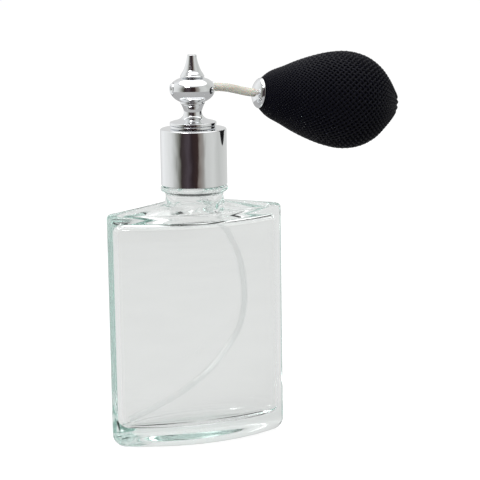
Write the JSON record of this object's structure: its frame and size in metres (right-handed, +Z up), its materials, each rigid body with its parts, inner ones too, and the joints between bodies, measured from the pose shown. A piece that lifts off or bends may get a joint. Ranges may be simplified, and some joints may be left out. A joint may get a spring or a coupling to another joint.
{
  "type": "perfume atomiser",
  "caption": "Flat clear glass perfume bottle with a chrome screw collar, a swivelling spray head, a dip tube and a black netted rubber squeeze bulb on a short air tube.",
  "frame": {"origin": "on the bottle's axis at its base plane", "axes": "+Z up along the neck and collar, +X from the neck towards the squeeze bulb, +Y through the bottle's depth"},
  "size_m": [0.1124, 0.0356, 0.1416],
  "materials": {
    "clear_glass": "clear soda-lime glass, faintly green where it is thick",
    "chrome": "bright mirror chrome plate",
    "natural_plastic": "natural moulded plastic",
    "dark_plastic": "dark moulded plastic",
    "tube_plastic": "soft grey-beige tubing with a satin sheen",
    "clear_plastic": "clear extruded plastic tubing",
    "black_rubber": "black moulded rubber",
    "black_yarn": "black knitted net with a faint sheen on each knot",
    "steel": "polished steel"
  },
  "bodies": {
    "bottle": {"bottle": "clear_glass"},
    "closure": {"neck_gasket": "dark_plastic", "stem": "natural_plastic", "seat_ring": "chrome", "swivel_seal": "black_rubber", "dip_tube": "clear_plastic"},
    "collar": {"collar_shell": "chrome", "collar_nut": "dark_plastic"},
    "head": {"head_body": "chrome", "finial": "chrome", "nozzle_insert": "chrome", "jet_tube": "steel", "liquid_riser": "natural_plastic", "air_spigot": "chrome", "air_tube": "tube_plastic"},
    "bulb": {"bulb_cup": "chrome", "cup_spigot": "chrome", "bulb_plug": "dark_plastic", "rubber_bulb": "black_rubber", "net_cover": "black_yarn", "net_tie": "black_yarn", "valve_body": "dark_plastic", "valve_seat": "dark_plastic"},
    "thumb_wall": {"bulb_thumb_wall": "black_rubber"},
    "finger_wall": {"bulb_finger_wall": "black_rubber"},
    "inlet_ball": {"valve_ball": "steel"}
  },
  "joints": [
    {"name": "closure_lift", "type": "slide", "parent": "bottle", "child": "closure", "axis": [0, 0, 1], "range_m": [0, 0.00635], "deforming": ["dip_tube"]},
    {"name": "collar_turn", "type": "hinge", "parent": "closure", "child": "collar", "pos_m": [0, 0, 0.105], "axis": [0, 0, 1], "range_deg": [0, 720]},
    {"name": "head_swivel", "type": "hinge", "parent": "closure", "child": "head", "pos_m": [0, 0, 0.117], "axis": [0, 0, 1], "continuous": true},
    {"name": "tube_flex", "type": "hinge", "parent": "head", "child": "bulb", "pos_m": [0.0155, 0, 0.1286], "axis": [0, 1, 0], "range_deg": [-25, 25], "stiffness_Nm_per_rad": 0.033, "springref_deg": -7.28, "deforming": ["air_tube"]},
    {"name": "bulb_squeeze", "type": "slide", "parent": "bulb", "child": "thumb_wall", "axis": [-0.1271, 0, -0.9919], "range_m": [0, 0.008], "stiffness_N_per_m": 400, "deforming": ["net_cover"]},
    {"name": "finger_squeeze", "type": "slide", "parent": "bulb", "child": "finger_wall", "axis": [0.1271, 0, 0.9919], "range_m": [0, 0.008], "stiffness_N_per_m": 400},
    {"name": "inlet_valve", "type": "slide", "parent": "bulb", "child": "inlet_ball", "axis": [0.9919, 0, -0.1271], "range_m": [0, 0.0009]}
  ],
  "couplings": [
    {"joint": "collar_turn", "follows": "closure_lift", "rad_per_m": 1978.9},
    {"joint": "finger_squeeze", "follows": "bulb_squeeze", "ratio": 1},
    {"joint": "inlet_valve", "follows": "bulb_squeeze", "ratio": 0.1}
  ]
}
